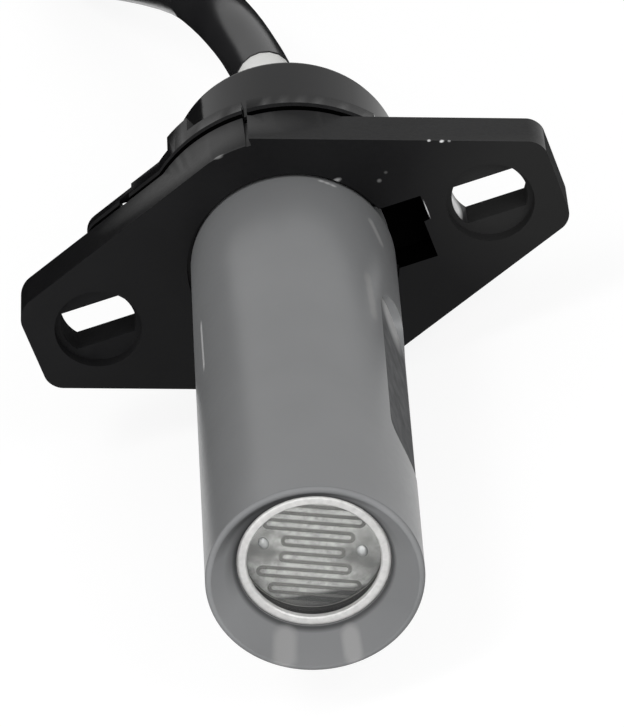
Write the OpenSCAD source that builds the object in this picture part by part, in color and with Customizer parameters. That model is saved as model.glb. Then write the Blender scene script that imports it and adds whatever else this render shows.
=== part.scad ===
// Flame-sensing photocell for an oil burner: a grey tube with a light-sensitive cell at its
// nose, a rhombic fixing flange, a slide-in clip behind it, a rear cap and a short lead.
// Y runs along the tube with the nose towards -Y, X along the flange, Z up, and the origin
// lies on the tube's axis in the flange's front face.

/* [Tube] */
// Outer diameter of the sensor tube
tube_d = 14; // [13.8:0.1:14.2]
// Length of tube in front of the flange
tube_reach = 38.4; // [36:0.2:42]
// Wall left at the floor of each flank recess, measured from the axis
recess_floor = 6.45; // [6.2:0.05:6.8]
// Length of each flank recess
recess_length = 19; // [14:0.5:22]
// Height of each flank recess
recess_height = 5; // [3:0.25:6]

/* [Cell] */
// Outer diameter of the metal can of the cell
can_d = 9.8; // [9.6:0.05:9.9]
// Diameter of the opening in the can
aperture_d = 8.5; // [8:0.1:8.8]
// Depth of the can behind the nose
can_recess = 2.15; // [1.8:0.1:2.8]
// Distance between two rows of the cell's track
track_pitch = 0.6; // [0.5:0.05:0.62]
// Width of the track between the two electrode combs
track_w = 0.26; // [0.22:0.01:0.26]
// Angle of the track's rows against the flange, seen from the nose
track_turn = -26; // [-60:1:60]

/* [Flange] */
// Length of the flange over its cut-off ends
flange_length = 38; // [36:0.5:42]
// Distance between the two parallel long edges of the flange
flange_across = 19.9; // [19:0.1:22]
// Slope of the long edges against the flange's length
flange_slope = 21.3; // [18:0.1:24]
// Thickness of the flange
flange_t = 3.2; // [2.6:0.1:3.2]
// Distance between the two fixing holes
fixing_pitch = 28.4; // [27.6:0.1:29]
// Diameter of each screw head seat
seat_d = 6; // [5.4:0.1:6.2]
// Depth of each screw head seat
seat_depth = 0.9; // [0.5:0.1:1.4]
// Height between the flats of each fixing hole
slot_flats = 3.05; // [3:0.05:3.6]
// Width of each fixing hole over its round ends
slot_round = 5.2; // [4.4:0.1:5.2]

/* [Clip and cap] */
// Thickness of the retaining clip
clip_t = 1.85; // [1.6:0.05:1.85]
// Outer diameter of the rear cap
cap_d = 16.1; // [15.6:0.1:17]
// Place of the cap's rear face along the tube
cap_rear = 14.6; // [14:0.1:16]

/* [Lead] */
// Outer diameter of the lead's jacket
cord_d = 4.3; // [4:0.1:4.3]

/* [Hidden] */
$fn = 96;
skin = 0.01;

// Tube
tube_r = tube_d / 2;
spigot_r = 6.7;
nose_y = -tube_reach;
cell_y = nose_y + can_recess;
cell_bore_r = can_d / 2;
rear_bore_r = 5.2;
shoulder_y = cell_y + 5;
tube_rear = 12;
groove_r = 6.2;
groove_front = 3.35;
groove_rear = 5.4;
recess_mid_y = -19.5;
nose_inset = 0.1;
guide_length = 9.8;
seat_floor = 0.5;

// Cell, all planes measured behind the can's front
can_wall = 0.25;
can_inner_r = can_d / 2 - can_wall;
window_y = cell_y + 0.4;
window_t = 0.6;
disc_y = cell_y + 2;
disc_t = 1;
layer_t = 0.05;
combs_y = disc_y - 2 * layer_t;
comb_r = 4.5;
comb_low_edge = -4.1;
header_y = disc_y + disc_t;
header_t = 1;
header_rear = header_y + header_t;
can_rear = header_rear + 0.25;
crimp_r = 4.2;
pin_reach = 3.15;
pin_r = 0.225;
seal_r = 0.6;
pin_end = -25.2;
carrier_rear = -27;

// Track of the cell: rows from the top down, joined by a turn at alternate ends.
// Each number is the place of one turn's centre along the rows.
row_top = 3;
turns = [-2.3, 2.7, -2.95, 2.15, -1.65, 1.7, -1.65, 2.25, -2.95, 3, -2.1];
row_count = len(turns) + 1;
turn_r = track_pitch / 2;
row_end = 6;

// Flange
end_x = flange_length / 2;
peak_z = flange_across / 2 / cos(flange_slope);
end_z = peak_z - end_x * tan(flange_slope);
hub_r = 10.4;
hub_front = 0.8;
shoulder_r = 10;
tube_seat_r = 7.25;
split_left = 0.12;
split_w = 0.36;
pocket_left = 5;
pocket_right = 9.9;
pocket_top = 2.2;
pocket_low = -2.7;
pocket_depth = 2.6;

// Clip
clip_front = 3.45;
clip_rear = clip_front + clip_t;
clip_r = 10.5;
clip_open_x = 8.3;
clip_end_x = -13.2;
clip_thin_x = -9.1;
clip_thin_rear = 4.8;
tab_rear = 7.1;
tab_from = 113;
tab_to = 124;
hole_clear_r = 3.3;
eye_left = -10.1;
eye_right = -9.3;

// Cap
cap_r = cap_d / 2;
cap_wall_front = 13;
sheath_r = 2.05;
sheath_bore_r = 1.6;
grommet_front = 9;

// Lead: points of its centre line from the grommet to the coil
lead_route = [
    [0, 9, 0], [0, 16, 0], [-0.3, 20, 0], [-0.7, 24, 0], [-1.2, 27.3, 0], [-2, 31, 0],
    [-3.2, 35.5, 0], [-5.1, 41.5, -0.5], [-7.6, 48, -1.5], [-11.4, 56, -3.6], [-15.4, 64, -5.9],
    [-18.5, 71.5, -7.6], [-20.1, 77, -8.1], [-20.5, 81.5, -8.15], [-20.5, 85, -8.15]
];
jacket_first = 4;
cord_r = cord_d / 2;
core_r = 0.7;
core_shift = 0.75;
core_start = -23.4;

// Coil of the unseen length: a flat spiral wound inwards, open where the lead comes in.
// The solid is a ring as wide as the spiral, with the lead on its outer turn at one end
// face and the free end on its inner turn at the other.
coil_centre = [6, 85];
coil_outer_r = 26.5;
coil_inner_r = 18.4;
floor_z = -10.7;
tie_t = 0.4;
coil_z = floor_z + tie_t + cord_r;
coil_open = 60;
coil_end = [cos(180 + coil_open), sin(180 + coil_open)];
tie_angle = 9;

// Free end: the jacket goes on along the spiral, and its two cores are bared behind it,
// sink to the ground and turn inwards
tail_start = coil_centre + coil_inner_r * coil_end;
tail_next = tail_start + 2 * [coil_end[1], -coil_end[0]];
tail_end = [-9.8, 76.6, coil_z];
tail_route = [
    [tail_start[0], tail_start[1], coil_z], [tail_next[0], tail_next[1], coil_z],
    [-7.4, 72.9, coil_z], [-8.9, 75, coil_z], tail_end
];
tail_core_route = [
    tail_end, [-10.34, 77.56, coil_z], [-10.6, 79.3, -8.5], [-10.3, 81.2, -9], [-9.3, 83.2, -9.4],
    [-8.1, 85.3, -9.55], [-7.2, 86.86, -9.55]
];
core_spread = [0.8, 0.8, 0.9, 1.1, 1.3, 1.5, 1.5];
core_tip = len(tail_core_route) - 1;
collar_length = 2.5;
ferrule_length = 4.5;

// A plate between two planes across the tube's axis, drawn as seen from the nose
module slab(front, rear) {
    translate([0, rear, 0]) rotate([90, 0, 0]) linear_extrude(rear - front) children();
}

// A body of revolution round the tube's axis, its points being [radius, y]
module turned(points) {
    rotate([-90, 0, 0]) rotate_extrude() polygon(points);
}

// A flat ring round the tube's axis, or a sleeve round what stands at the cell's pins
module ring(r_out, r_in, front, rear) {
    slab(front, rear) difference() {
        circle(r_out);
        circle(r_in);
    }
}

function unit(v) = v / norm(v);
function angle_of(v) = atan2(v[1], v[0]);

// Points of an arc in the plane
function arc(centre, r, from, to, steps) =
    [for (i = [0:steps]) centre + r * [cos(from + (to - from) * i / steps),
                                       sin(from + (to - from) * i / steps)]];

// One corner of an outline, rounded with radius r
function corner(before, at, after, r, steps = 6) =
    let (
        a = unit(before - at),
        b = unit(after - at),
        half = acos(a * b) / 2,
        centre = at + unit(a + b) * r / sin(half),
        from = angle_of(at + a * r / tan(half) - centre),
        to = angle_of(at + b * r / tan(half) - centre),
        sweep = (to - from + 540) % 360 - 180
    )
    arc(centre, r, from, from + sweep, steps);

// A closed outline with every corner rounded by its own radius
function rounded(points, radii) =
    let (n = len(points))
    [for (i = [0:n - 1])
        each corner(points[(i + n - 1) % n], points[i], points[(i + 1) % n], radii[i])];

// Direction of a route at one of its points
function heading(route, i) =
    unit(route[min(i + 1, len(route) - 1)] - route[max(i - 1, 0)]);

// Sideways direction of a route, level with the ground
function sideways(route, i) = unit(cross(heading(route, i), [0, 0, 1]));

// One ring of points round a route
function route_ring(route, i, r, sides) =
    let (
        side = sideways(route, i),
        up = cross(side, heading(route, i))
    )
    [for (k = [0:sides - 1]) route[i] + r * (cos(360 * k / sides) * side
                                             + sin(360 * k / sides) * up)];

// A solid tube swept along a route from one of its points to another
module sweep(route, r, sides, first = 0, last = -1) {
    end = last < 0 ? len(route) - 1 : last;
    count = end - first + 1;
    points = [for (i = [first:end]) each route_ring(route, i, r, sides)];
    walls = [
        for (i = [0:count - 2], k = [0:sides - 1])
            [i * sides + k, i * sides + (k + 1) % sides,
             (i + 1) * sides + (k + 1) % sides, (i + 1) * sides + k]
    ];
    front_face = [for (k = [sides - 1:-1:0]) k];
    rear_face = [for (k = [0:sides - 1]) (count - 1) * sides + k];
    polyhedron(points, concat([front_face], walls, [rear_face]));
}

// Round things placed where the cell's two pins stand, turned with the track
module at_pins() {
    rotate([0, -track_turn, 0])
        for (side = [-1, 1]) translate([side * pin_reach, 0, 0]) children();
}

// Sensor tube

module recess_outline() {
    straight = recess_length - recess_height;
    square([recess_height, straight], center = true);
    for (side = [-1, 1]) translate([0, side * straight / 2]) circle(d = recess_height);
}

module flank_recess() {
    translate([recess_floor, recess_mid_y, 0])
        rotate([0, 90, 0]) linear_extrude(2) recess_outline();
}

module sensor_tube() {
    lip = 0.25;
    nose_r = tube_r - nose_inset;
    profile = concat(
        [[cell_bore_r, shoulder_y], [cell_bore_r, cell_y]],
        arc([nose_r - lip, nose_y + lip], lip, -120, 0, 6),
        [[tube_r, -guide_length], [tube_r, 0], [tube_r - nose_inset / 2, seat_floor]],
        [[spigot_r, seat_floor], [spigot_r, groove_front], [groove_r, groove_front]],
        [[groove_r, groove_rear], [spigot_r, groove_rear]],
        [[spigot_r, tube_rear - 0.4], [spigot_r - 0.4, tube_rear]],
        [[rear_bore_r, tube_rear], [rear_bore_r, shoulder_y]]
    );
    color("#7e8082") difference() {
        turned(profile);
        flank_recess();
        mirror([1, 0, 0]) flank_recess();
    }
}

// Flange

module rhombus() {
    points = [
        [0, peak_z], [end_x, end_z], [end_x, -end_z],
        [0, -peak_z], [-end_x, -end_z], [-end_x, end_z]
    ];
    difference() {
        polygon(rounded(points, [0.8, 1.5, 1.5, 0.8, 1.5, 2]));
        round_shoulder();
    }
}

// What is left off the upper corner beside the split, so that it is round there
module round_shoulder() {
    difference() {
        translate([-4, 9]) square([4 + split_left, 2]);
        circle(shoulder_r);
    }
}

// Round hub that swells out of the flange towards its rear
module hub() {
    turned([[spigot_r - 1, hub_front], [flange_across / 2, hub_front], [hub_r, flange_t],
            [spigot_r - 1, flange_t]]);
}

module fixing_slot() {
    intersection() {
        circle(d = slot_round);
        square([slot_round, slot_flats], center = true);
    }
}

module flange() {
    color("#242527") difference() {
        union() {
            slab(0, flange_t) rhombus();
            hub();
        }
        slab(-1, flange_t + 1) {
            circle(spigot_r);
            split();
        }
        slab(-1, pocket_depth) keyway();
        slab(-1, seat_floor) circle(tube_seat_r);
        for (side = [-1, 1]) translate([side * fixing_pitch / 2, 0, 0]) {
            slab(-1, seat_depth) circle(d = seat_d);
            slab(0, flange_t + 1) fixing_slot();
        }
    }
}

// Blind pocket open to the bore on one side, with a small step in its outer wall
module keyway() {
    step_x = 9.5;
    step_z = 0.2;
    polygon([
        [pocket_left, pocket_low], [step_x, pocket_low], [step_x, step_z],
        [pocket_right, step_z + 0.05], [pocket_right, pocket_top], [pocket_left, pocket_top]
    ]);
}

// Narrow split in the flange's upper corner
module split() {
    translate([split_left, peak_z - 0.75]) square([split_w, 2]);
}

// Retaining clip

module clip_lobe() {
    foot = flange_across / 2 * [sin(flange_slope), cos(flange_slope)];
    low_z = peak_z + clip_end_x * tan(flange_slope);
    points = [
        [-foot[0], foot[1]], [-foot[0], -foot[1]], [clip_end_x, -low_z], [clip_end_x, low_z]
    ];
    polygon(rounded(points, [0.1, 0.1, 1.5, 1.5]));
}

module clip_outline() {
    difference() {
        intersection() {
            union() {
                circle(clip_r);
                clip_lobe();
            }
            translate([-2 * end_x + clip_open_x, -end_x]) square(2 * end_x);
        }
        circle(groove_r);
        translate([0, -groove_r]) square([clip_r, 2 * groove_r]);
        translate([-fixing_pitch / 2, 0]) circle(hole_clear_r);
        translate([-2 * end_x, -hole_clear_r]) square([2 * end_x - fixing_pitch / 2, 2 * hole_clear_r]);
    }
}

module clip_tab() {
    tab_in = 9.6;
    intersection() {
        difference() {
            circle(clip_r);
            circle(tab_in);
        }
        polygon([[0, 0], 14 * [cos(tab_from), sin(tab_from)], 14 * [cos(tab_to), sin(tab_to)]]);
    }
}

module retaining_clip() {
    color("#2a2b2d") difference() {
        union() {
            slab(clip_front, clip_rear) clip_outline();
            slab(flange_t, clip_front) intersection() {
                difference() {
                    circle(8.4);
                    circle(7.6);
                }
                translate([-9, -9]) square([13, 18]);
            }
            slab(clip_rear - skin, tab_rear) {
                clip_tab();
                mirror([0, 1, 0]) clip_tab();
            }
        }
        slab(clip_thin_rear, clip_rear + 1)
            translate([-end_x, -end_x]) square([end_x + clip_thin_x, 2 * end_x]);
        slab(clip_front - 1, clip_front + 0.9)
            translate([eye_left, 5]) square([eye_right - eye_left, 4]);
        slab(clip_front - 1, clip_rear + 1)
            translate([eye_left, 4.6]) square([eye_right - eye_left, 1.6]);
        slab(clip_front - 1, clip_rear + 1) split();
    }
}

// Rear cap

module rear_cap() {
    edge = 0.5;
    profile = concat(
        [[spigot_r, clip_rear], [cap_r - 0.2, clip_rear], [cap_r, clip_rear + 0.2]],
        arc([cap_r - edge, cap_rear - edge], edge, 0, 90, 5),
        [[sheath_r, cap_rear], [sheath_r, cap_wall_front], [spigot_r, cap_wall_front]]
    );
    color("#2c2d2f") turned(profile);
}

// Light-sensitive cell

module cell_can() {
    rim = 0.25;
    profile = concat(
        [[can_inner_r, window_y], [aperture_d / 2, window_y], [aperture_d / 2, cell_y]],
        arc([can_d / 2 - rim, cell_y + rim], rim, -90, 0, 5),
        [[can_d / 2, can_rear], [crimp_r, can_rear], [crimp_r, header_rear]],
        [[can_inner_r, header_rear]]
    );
    color("#d8d6d0") turned(profile);
}

module cell_window() {
    color("#e8eeee") slab(window_y, window_y + window_t) circle(can_inner_r);
}

module cell_disc() {
    color("#b9b4ab") difference() {
        slab(disc_y, disc_y + disc_t) circle(can_inner_r);
        at_pins() slab(disc_y - 1, disc_y + disc_t + 1) circle(pin_r);
    }
}

module cell_layer() {
    color("#6b6560") difference() {
        slab(disc_y - layer_t, disc_y) circle(comb_r + 0.1);
        at_pins() slab(disc_y - 1, disc_y + 1) circle(pin_r);
    }
}

function row_z(k) = row_top - k * track_pitch;
function row_from(k) = k == 0 ? turns[0] : min(turns[k - 1], k < len(turns) ? turns[k] : row_end);
function row_to(k) = k == 0 ? row_end : max(turns[k - 1], k < len(turns) ? turns[k] : row_end);

// The snaking track: straight rows, and a half ring at each turn
module track() {
    for (k = [0:row_count - 1])
        translate([row_from(k), row_z(k) - track_w / 2])
            square([row_to(k) - row_from(k), track_w]);
    for (k = [0:len(turns) - 1])
        translate([turns[k], row_z(k) - turn_r]) intersection() {
            difference() {
                circle(turn_r + track_w / 2);
                circle(turn_r - track_w / 2);
            }
            translate([turns[k] > 0 ? 0 : -1, -1]) square([1, 2]);
        }
}

// Everything on the right of the track's centre line
module right_side() {
    reach = turn_r - 0.05;
    edges = [for (t = turns) t + (t > 0 ? reach : -reach)];
    polygon(concat(
        [[row_end, row_z(0)]],
        [for (k = [0:len(turns) - 1]) each [[edges[k], row_z(k)], [edges[k], row_z(k + 1)]]],
        [[row_end, row_z(row_count - 1)]]
    ));
}

module comb_field() {
    difference() {
        intersection() {
            circle(comb_r);
            translate([-row_end, comb_low_edge]) square(2 * row_end);
        }
        track();
        for (side = [-1, 1]) translate([side * pin_reach, 0]) circle(pin_r);
    }
}

module cell_comb_left() {
    color("#a7a6a3") slab(combs_y, combs_y + layer_t) rotate(track_turn) difference() {
        comb_field();
        right_side();
    }
}

module cell_comb_right() {
    color("#a7a6a3") slab(combs_y, combs_y + layer_t) rotate(track_turn) intersection() {
        comb_field();
        right_side();
    }
}

module cell_dots() {
    dot_r = 0.4;
    dot_h = 0.16;
    color("#dcdad5") at_pins() turned([
        [0, combs_y], [0, combs_y - dot_h], [dot_r * 0.5, combs_y - dot_h * 0.85],
        [dot_r * 0.85, combs_y - dot_h * 0.45], [dot_r, combs_y]
    ]);
}

module cell_header() {
    color("#9a9890") difference() {
        slab(header_y, header_rear) circle(can_inner_r);
        at_pins() slab(header_y - 1, header_rear + 1) circle(seal_r);
    }
}

module pin_seals() {
    color("#3f5a4a") at_pins() ring(seal_r, pin_r, header_y, header_rear);
}

module cell_pins() {
    color("#c9c6be") at_pins() slab(combs_y, pin_end) circle(pin_r);
}

module cell_carrier() {
    color("#d9d4c6") difference() {
        union() {
            slab(can_rear, shoulder_y) circle(cell_bore_r);
            slab(shoulder_y, carrier_rear) circle(rear_bore_r);
        }
        at_pins() slab(can_rear - 1, carrier_rear + 1) circle(0.3);
    }
}

// Joints between the cell's pins and the lead's two cores

module solder_joints() {
    joint_r = 0.5;
    conductor_r = 0.3;
    color("#c0c2c4") at_pins() difference() {
        slab(pin_end - 1, pin_end + 0.8) circle(joint_r);
        slab(pin_end - 2, pin_end) circle(pin_r);
        slab(pin_end, pin_end + 2) circle(conductor_r);
    }
}

module conductor_ends() {
    color("#c98a4b") at_pins() slab(pin_end, core_start) circle(0.3);
}

module lead_sleeves() {
    color("#1f1f20") at_pins() ring(0.95, core_r, pin_end - 1.4, -20.6);
}

// Route of one core: from its joint in to the axis, then beside the lead's centre line
function core_route(side) = concat(
    [
        [pin_reach * cos(track_turn) * side, core_start, pin_reach * sin(track_turn) * side],
        [pin_reach * cos(track_turn) * side, -20, pin_reach * sin(track_turn) * side],
        [1.9 * side, -14, -0.8 * side],
        [core_shift * side, -6, 0],
        [core_shift * side, 2, 0]
    ],
    [for (i = [0:jacket_first + 1]) lead_route[i] + side * core_shift * sideways(lead_route, i)]
);

module core(side) {
    route = core_route(side);
    sweep(route, core_r, 8, 0, len(route) - 2);
}

module core_a() {
    color("#7a4a2c") core(1);
}

module core_b() {
    color("#2f5f9e") core(-1);
}

// Lead

module inner_sheath() {
    color("#f2f2ef") difference() {
        sweep(lead_route, sheath_r, 12, 0, jacket_first);
        sweep(lead_route, sheath_bore_r, 12, 0, jacket_first);
    }
}

module strain_relief() {
    color("#1d1d1f") ring(rear_bore_r, sheath_r, grommet_front, cap_wall_front);
}

module cord() {
    color("#1c1c1e") sweep(lead_route, cord_r, 12, jacket_first);
}

// Section through the flat coil, grown by an amount
module coil_section(grow = 0) {
    for (r = [coil_inner_r, coil_outer_r]) translate([r, coil_z]) circle(cord_r + grow);
    translate([coil_inner_r, coil_z - cord_r - grow])
        square([coil_outer_r - coil_inner_r, cord_d + 2 * grow]);
}

module cord_coil() {
    color("#1c1c1e") translate(coil_centre) rotate([0, 0, coil_open - 180])
        rotate_extrude(angle = 360 - coil_open) coil_section();
}

module cord_tie() {
    color("#e6e6e2") translate(coil_centre) rotate([0, 0, -tie_angle / 2])
        rotate_extrude(angle = tie_angle) difference() {
            coil_section(tie_t);
            coil_section();
        }
}

module cord_tail() {
    color("#1c1c1e") sweep(tail_route, cord_r, 12);
}

function bared_core(side) =
    [for (i = [0:core_tip])
        tail_core_route[i] + side * core_spread[i] * sideways(tail_core_route, i)];

module tail_core_a() {
    color("#7a4a2c") sweep(bared_core(1), core_r, 8);
}

module tail_core_b() {
    color("#2f5f9e") sweep(bared_core(-1), core_r, 8);
}

// Round pieces on the tips of both bared cores, in line with them
module at_core_tips() {
    for (side = [-1, 1]) {
        route = bared_core(side);
        way = heading(route, core_tip);
        translate(route[core_tip]) rotate([0, 0, atan2(way[1], way[0]) - 90]) children();
    }
}

module ferrule_collars() {
    color("#b8322a") at_core_tips() slab(0, collar_length) circle(1.1);
}

module ferrules() {
    color("#c7c9cb") at_core_tips()
        slab(collar_length, collar_length + ferrule_length) circle(0.6);
}

sensor_tube();
flange();
retaining_clip();
rear_cap();
cell_can();
cell_window();
cell_disc();
cell_layer();
cell_comb_left();
cell_comb_right();
cell_dots();
cell_header();
cell_pins();
pin_seals();
cell_carrier();
solder_joints();
conductor_ends();
lead_sleeves();
core_a();
core_b();
inner_sheath();
strain_relief();
cord();
cord_coil();
cord_tie();
cord_tail();
tail_core_a();
tail_core_b();
ferrule_collars();
ferrules();
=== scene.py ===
from math import cos, pi, radians, sin

import bpy
from mathutils import Matrix, Vector


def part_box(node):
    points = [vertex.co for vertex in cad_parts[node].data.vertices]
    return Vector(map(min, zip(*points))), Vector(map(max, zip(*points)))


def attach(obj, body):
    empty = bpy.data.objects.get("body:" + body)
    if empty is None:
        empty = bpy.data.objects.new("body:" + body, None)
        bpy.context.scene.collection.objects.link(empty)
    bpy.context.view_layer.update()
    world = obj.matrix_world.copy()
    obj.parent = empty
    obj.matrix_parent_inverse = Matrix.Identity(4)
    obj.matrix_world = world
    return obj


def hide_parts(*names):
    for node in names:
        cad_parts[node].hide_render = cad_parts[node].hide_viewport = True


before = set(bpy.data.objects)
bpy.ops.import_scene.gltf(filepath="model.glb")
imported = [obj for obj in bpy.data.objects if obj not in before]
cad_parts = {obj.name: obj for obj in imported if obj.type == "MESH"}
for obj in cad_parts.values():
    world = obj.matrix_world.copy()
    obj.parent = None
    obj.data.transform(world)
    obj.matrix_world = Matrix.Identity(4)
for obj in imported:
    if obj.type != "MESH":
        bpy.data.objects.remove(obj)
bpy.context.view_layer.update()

mm = 0.001


def report(text):
    print("photocell:", text)


def deselectAll():
    if bpy.context.object and bpy.context.object.mode != "OBJECT":
        bpy.ops.object.mode_set(mode="OBJECT")
    bpy.ops.object.select_all(action="DESELECT")


def pick(obj):
    deselectAll()
    obj.select_set(True)
    bpy.context.view_layer.objects.active = obj


# camera

cameraSetup = {
    "azimuth": 9.6098, "elevation": 30.4995, "roll": -22.6274,  # degrees
    "target": (1.1362, -15.0, 1.1558), "distance": 376.45,      # mm
    "lens": 283.2, "sensorWidth": 36,                           # mm
    "clipFrom": 0.01, "clipTo": 20,                             # m
}


def addCamera(setup):
    az, el, roll = (radians(setup[k]) for k in ("azimuth", "elevation", "roll"))
    out = Vector((sin(az) * cos(el), -cos(az) * cos(el), sin(el)))
    right = (-out).cross(Vector((0, 0, 1))).normalized()
    up = right.cross(-out)
    tiltedRight = right * cos(roll) + up * sin(roll)
    tiltedUp = up * cos(roll) - right * sin(roll)
    place = (Vector(setup["target"]) + out * setup["distance"]) * mm
    bpy.ops.object.camera_add()
    camera = bpy.context.object
    camera.name = "photoCamera"
    turn = Matrix((tiltedRight, tiltedUp, out)).transposed()
    camera.matrix_world = Matrix.Translation(place) @ turn.to_4x4()
    camera.data.sensor_width = setup["sensorWidth"]
    camera.data.lens = setup["lens"]
    camera.data.clip_start = setup["clipFrom"]
    camera.data.clip_end = setup["clipTo"]
    bpy.context.scene.camera = camera


addCamera(cameraSetup)


# lead

leadRoute = {
    # centre line in mm, from the jacket's cut end to the coil
    "lead": [(-1.2, 27.3, 0), (-2, 31, 0), (-3.2, 35.5, 0), (-5.1, 41.5, -0.5),
             (-7.6, 48, -1.5), (-11.4, 56, -3.6), (-15.4, 64, -5.9), (-18.5, 71.5, -7.6),
             (-20.1, 77, -8.1), (-20.5, 81.5, -8.15)],
    "coilCentre": (6, 85), "coilStart": 26.5, "coilEnd": 18.4, "coilTurn": 660,
    "coilHeight": -8.15, "coilPoints": 44,
    "tail": [(-4.93, 70.07, -8.15), (-7.4, 72.9, -8.15), (-8.9, 75, -8.15),
             (-9.8, 76.6, -8.15)],
    "diameter": 4.3, "length": 0.336,
    "cores": [(-9.8, 76.6, -8.15), (-10.34, 77.56, -8.15), (-10.6, 79.3, -8.5),
              (-10.3, 81.2, -9), (-9.3, 83.2, -9.4), (-8.1, 85.3, -9.55), (-7.2, 86.86, -9.55)],
    "coreSpread": [0.8, 0.8, 0.9, 1.1, 1.3, 1.5, 1.5], "coreRadius": 0.7,
}


def smoothLine(points, steps):
    # Catmull-Rom through the points, so that the line has no corners
    pts = [Vector(p) for p in points]
    pts = [2 * pts[0] - pts[1]] + pts + [2 * pts[-1] - pts[-2]]
    line = []
    for a, b, c, d in zip(pts, pts[1:], pts[2:], pts[3:]):
        for i in range(steps):
            t = i / steps
            line.append(0.5 * (2 * b + (c - a) * t + (2 * a - 5 * b + 4 * c - d) * t * t
                               + (3 * b - a - 3 * c + d) * t ** 3))
    return line + [pts[-2]]


def coilLine(route):
    line = []
    for i in range(route["coilPoints"] + 1):
        share = i / route["coilPoints"]
        angle = radians(180 - route["coilTurn"] * share)
        r = route["coilStart"] + (route["coilEnd"] - route["coilStart"]) * share
        line.append((route["coilCentre"][0] + r * cos(angle),
                     route["coilCentre"][1] + r * sin(angle), route["coilHeight"]))
    return line


def wire(name, line, radius, resolution):
    data = bpy.data.curves.new(name, "CURVE")
    data.dimensions = "3D"
    data.bevel_depth = radius * mm
    data.bevel_resolution = resolution
    data.use_fill_caps = True
    spline = data.splines.new("POLY")
    spline.points.add(len(line) - 1)
    for point, place in zip(spline.points, line):
        point.co = (*(Vector(place) * mm), 1)
    obj = bpy.data.objects.new(name, data)
    bpy.context.scene.collection.objects.link(obj)
    pick(obj)
    bpy.ops.object.convert(target="MESH")
    bpy.ops.object.shade_smooth_by_angle(angle=radians(40))
    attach(obj, "root")
    return obj


def offsetLine(points, spread, side):
    # a core runs beside the cable's middle line, level with the ground
    pts = [Vector(p) for p in points]
    line = []
    for i, p in enumerate(pts):
        way = (pts[min(i + 1, len(pts) - 1)] - pts[max(i - 1, 0)]).normalized()
        sideways = way.cross(Vector((0, 0, 1))).normalized()
        line.append(p + side * spread[i] * sideways)
    return line


cordLine = smoothLine(leadRoute["lead"] + coilLine(leadRoute) + leadRoute["tail"], steps=3)
cordJacket = wire("cordJacket", cordLine, leadRoute["diameter"] / 2, resolution=7)
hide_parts("cord", "cord_coil", "cord_tail")

tailCores = []
for side, name, node in ((1, "tailCoreBrown", "tail_core_a"), (-1, "tailCoreBlue", "tail_core_b")):
    line = offsetLine(leadRoute["cores"], leadRoute["coreSpread"], side)
    core = wire(name, smoothLine(line, steps=4), leadRoute["coreRadius"], resolution=3)
    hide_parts(node)
    tailCores.append(core)
report("camera and lead are in place")


# shader helpers

def feed(links, socket, value):
    # a socket takes what another node puts out, or a plain value
    if hasattr(value, "links"):
        links.new(value, socket)
    elif socket.type == "RGBA":
        socket.default_value = (*value, 1)
    else:
        socket.default_value = value


def calculate(nodes, links, kind, operation, values):
    node = nodes.new(kind)
    node.operation = operation
    for socket, value in zip(node.inputs, values):
        feed(links, socket, value)
    return node.outputs


def maths(nodes, links, operation, *values):
    return calculate(nodes, links, "ShaderNodeMath", operation, values)[0]


def times(nodes, links, first, second):
    return maths(nodes, links, "MULTIPLY", first, second)


def vectors(nodes, links, operation, *values):
    outputs = calculate(nodes, links, "ShaderNodeVectorMath", operation, values)
    return outputs["Value" if operation in ("DOT_PRODUCT", "LENGTH") else "Vector"]


def spread(nodes, links, value, low, high, fromLow=0.3, fromHigh=0.7):
    fit = nodes.new("ShaderNodeMapRange")
    fit.inputs["From Min"].default_value = fromLow
    fit.inputs["From Max"].default_value = fromHigh
    fit.inputs["To Min"].default_value = low
    fit.inputs["To Max"].default_value = high
    links.new(value, fit.inputs["Value"])
    return fit.outputs[0]


def mixColour(nodes, links, mask, low, high):
    mix = nodes.new("ShaderNodeMix")
    mix.data_type = "RGBA"
    links.new(mask, mix.inputs["Factor"])
    feed(links, mix.inputs[6], low)
    feed(links, mix.inputs[7], high)
    return mix.outputs[2]


def seenDirectly(nodes, links):
    # 1 for what the camera sees, also in metal and through glass
    path = nodes.new("ShaderNodeLightPath")
    seen = path.outputs["Is Camera Ray"]
    for ray in ("Is Glossy Ray", "Is Transmission Ray"):
        seen = maths(nodes, links, "MAXIMUM", seen, path.outputs[ray])
    return seen


# studio

studio = {
    "floorHeight": -10.7, "floorSize": 6.0,
    "roomLight": 0.37, "roomSeen": 1.0,
    "floorGlow": 0.86, "floorColour": 0.2,
    "softboxes": [
        # place in m, size in m, watts
        ("leftSoftbox", (-0.19, -0.25, 0.74), (0.26, 0.3), 1.2),
        ("rightSoftbox", (0.45, -0.5, 0.42), (0.28, 0.3), 1.5),
        ("frontSoftbox", (0.05, -0.90, 0.14), (1.8, 0.4), 10.3),
        ("leftFill", (-0.75, -0.35, 0.25), (0.6, 0.5), 1.3),
    ],
    # dark cards behind on the left, seen only in the gloss of the parts, in mm
    "cards": {
        "rearCard": [(14, 44, -10.7), (4.6, 44, -0.6), (-21, 44, 12.5), (-23.8, 44, 15.2),
                     (-31.5, 44, 20.8), (-32.5, 44, 45), (-220, 44, 45), (-220, 44, -10.7)],
        "floorCard": [(-9, 13, -10.6), (-12, 44, -10.6), (-20, 72, -10.6), (-220, 72, -10.6),
                      (-220, 13, -10.6)],
        "leadCard": [(-30, 72, -10.6), (-30, 72, 12), (-220, 72, 12), (-220, 72, -10.6)],
    },
}


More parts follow.
